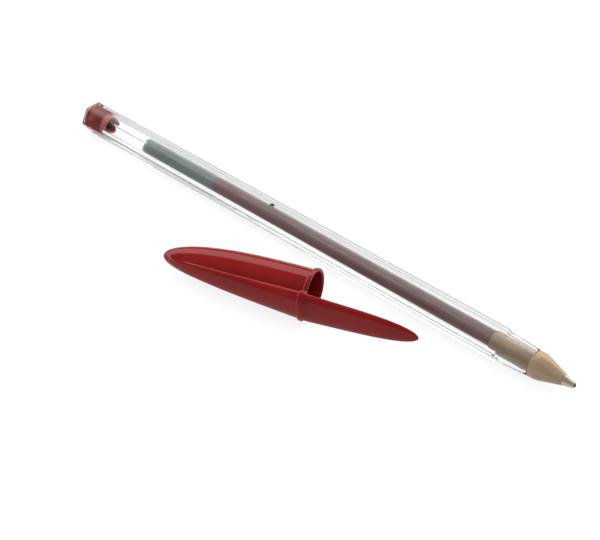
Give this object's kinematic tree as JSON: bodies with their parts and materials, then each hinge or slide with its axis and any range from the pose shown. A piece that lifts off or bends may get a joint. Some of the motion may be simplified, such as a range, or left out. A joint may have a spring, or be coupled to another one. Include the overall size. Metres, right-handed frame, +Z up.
{
  "type": "stick ballpoint pen",
  "caption": "Stick ballpoint pen with a clear six-sided barrel, coloured end plug, push-fit refill and rolling ball, and its clip cap lying loose beside it.",
  "frame": {"origin": "middle of the barrel's bottom flat, on the ground", "axes": "+X along the pen towards the writing point, +Z up, the loose cap on the -Y side"},
  "size_m": [0.144, 0.0317, 0.0107],
  "materials": {
    "barrel": "clear polystyrene",
    "end_plug": "glossy red",
    "ink_tube": "natural translucent",
    "ink": "dark red paste",
    "tip_holder": "satin tan",
    "writing_point": "turned",
    "ball": "polished, wet with ink",
    "cap": "glossy red"
  },
  "bodies": {
    "barrel": {"barrel": "barrel"},
    "end_plug": {"end_plug": "end_plug"},
    "refill": {"ink_tube": "ink_tube", "ink": "ink", "tip_holder": "tip_holder", "writing_point": "writing_point"},
    "ball": {"ball": "ball"},
    "cap": {"cap": "cap"}
  },
  "joints": [
    {"name": "plug_pull", "type": "slide", "parent": "barrel", "child": "end_plug", "axis": [-1, 0, 0], "range_m": [0, 0.009]},
    {"name": "refill_pull", "type": "slide", "parent": "barrel", "child": "refill", "axis": [1, 0, 0], "range_m": [0, 0.11]},
    {"name": "ball_roll", "type": "hinge", "parent": "refill", "child": "ball", "pos_m": [0.08025, 0, 0.00347], "axis": [0, 1, 0], "continuous": true},
    {"name": "cap_pull", "type": "slide", "parent": "barrel", "child": "cap", "axis": [-0.9588, -0.284, 0], "range_m": [0, 0.03]}
  ]
}
